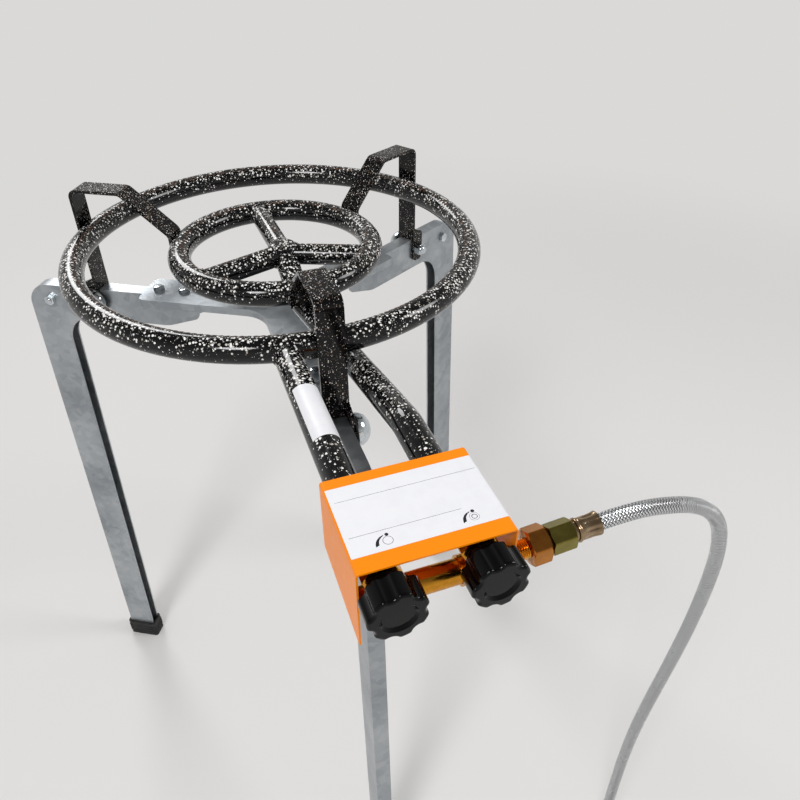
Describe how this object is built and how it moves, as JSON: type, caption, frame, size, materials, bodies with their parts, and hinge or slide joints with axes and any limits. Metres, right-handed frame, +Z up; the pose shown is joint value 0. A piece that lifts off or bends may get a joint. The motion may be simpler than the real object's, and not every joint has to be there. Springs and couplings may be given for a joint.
{
  "type": "propane burner stand",
  "caption": "Outdoor propane burner with concentric tube rings, pan brackets, twin taps under a folded hood and a braided hose, on a three-legged pressed steel stand.",
  "frame": {"origin": "on the floor, under the middle of the burner and stand's box without the hose", "axes": "+Z up, -Y towards the taps and the user, +X to the user's right"},
  "size_m": [0.554, 0.7504, 0.745],
  "materials": {
    "speckled_enamel": "black vitreous enamel with fine white speckles, gloss",
    "galvanised_steel": "galvanised pressed sheet, satin",
    "foot_rubber": "moulded black rubber, matte",
    "bright_zinc": "bright zinc plate",
    "brass": "turned brass, satin",
    "olive_brass": "yellow passivated steel hex",
    "spring_steel": "bright steel",
    "black_phenolic": "moulded black plastic, gloss",
    "crimp_steel": "crimped plated steel",
    "orange_enamel": "orange enamel paint, semi gloss",
    "steel_braid": "woven stainless wire braid"
  },
  "bodies": {
    "root": {"outer_ring": "speckled_enamel", "inner_ring": "speckled_enamel", "spoke_hub": "speckled_enamel", "back_spoke": "speckled_enamel", "right_spoke": "speckled_enamel", "left_spoke": "speckled_enamel", "outer_feed_tube": "speckled_enamel", "inner_feed_tube": "speckled_enamel", "front_pan_bracket": "speckled_enamel", "front_leg": "galvanised_steel", "front_foot_cap": "foot_rubber", "front_acorn_nut": "bright_zinc", "right_pan_bracket": "speckled_enamel", "right_leg": "galvanised_steel", "right_foot_cap": "foot_rubber", "right_acorn_nut": "bright_zinc", "left_pan_bracket": "speckled_enamel", "left_leg": "galvanised_steel", "left_foot_cap": "foot_rubber", "left_acorn_nut": "bright_zinc", "star_plate": "galvanised_steel", "arm_bolts": "bright_zinc", "arm_nuts": "bright_zinc", "knee_bolts": "bright_zinc", "knee_nuts": "bright_zinc", "left_injector": "brass", "left_tap_body": "brass", "left_gland_nut": "brass", "right_injector": "brass", "right_tap_body": "brass", "right_gland_nut": "brass", "gas_manifold": "brass", "inlet_stub": "brass", "union_nut": "brass", "hose_adapter": "olive_brass", "hose_ferrule": "crimp_steel", "tail_ferrule": "crimp_steel", "regulator_nut": "brass", "control_hood": "orange_enamel", "hose": "steel_braid", "hose_coil": "steel_braid"},
    "left_plug": {"left_tap_plug": "brass", "left_return_spring": "spring_steel"},
    "left_knob_set": {"left_knob": "black_phenolic", "left_spindle": "spring_steel"},
    "right_plug": {"right_tap_plug": "brass", "right_return_spring": "spring_steel"},
    "right_knob_set": {"right_knob": "black_phenolic", "right_spindle": "spring_steel"},
    "front_clamp": {"front_clamp_screw": "bright_zinc"},
    "right_clamp": {"right_clamp_screw": "bright_zinc"},
    "left_clamp": {"left_clamp_screw": "bright_zinc"}
  },
  "joints": [
    {"name": "left_tap_turn", "type": "hinge", "parent": "root", "child": "left_plug", "pos_m": [-0.033, -0.287, 0.696], "axis": [0, -1, 0], "range_deg": [0, 200]},
    {"name": "left_knob_push", "type": "slide", "parent": "left_plug", "child": "left_knob_set", "axis": [0, 1, 0], "range_m": [0, 0.003], "stiffness_N_per_m": 1200, "springref_m": -0.002, "deforming": ["left_return_spring"]},
    {"name": "right_tap_turn", "type": "hinge", "parent": "root", "child": "right_plug", "pos_m": [0.0255, -0.287, 0.696], "axis": [0, -1, 0], "range_deg": [0, 200]},
    {"name": "right_knob_push", "type": "slide", "parent": "right_plug", "child": "right_knob_set", "axis": [0, 1, 0], "range_m": [0, 0.003], "stiffness_N_per_m": 1200, "springref_m": -0.002, "deforming": ["right_return_spring"]},
    {"name": "front_clamp_turn", "type": "hinge", "parent": "root", "child": "front_clamp", "pos_m": [0, -0.085, 0.622], "axis": [1, 0, 0], "continuous": true},
    {"name": "right_clamp_turn", "type": "hinge", "parent": "root", "child": "right_clamp", "pos_m": [0.18013, 0.227, 0.622], "axis": [-0.5, 0.866, 0], "continuous": true},
    {"name": "left_clamp_turn", "type": "hinge", "parent": "root", "child": "left_clamp", "pos_m": [-0.18013, 0.227, 0.622], "axis": [-0.5, -0.866, 0], "continuous": true}
  ]
}
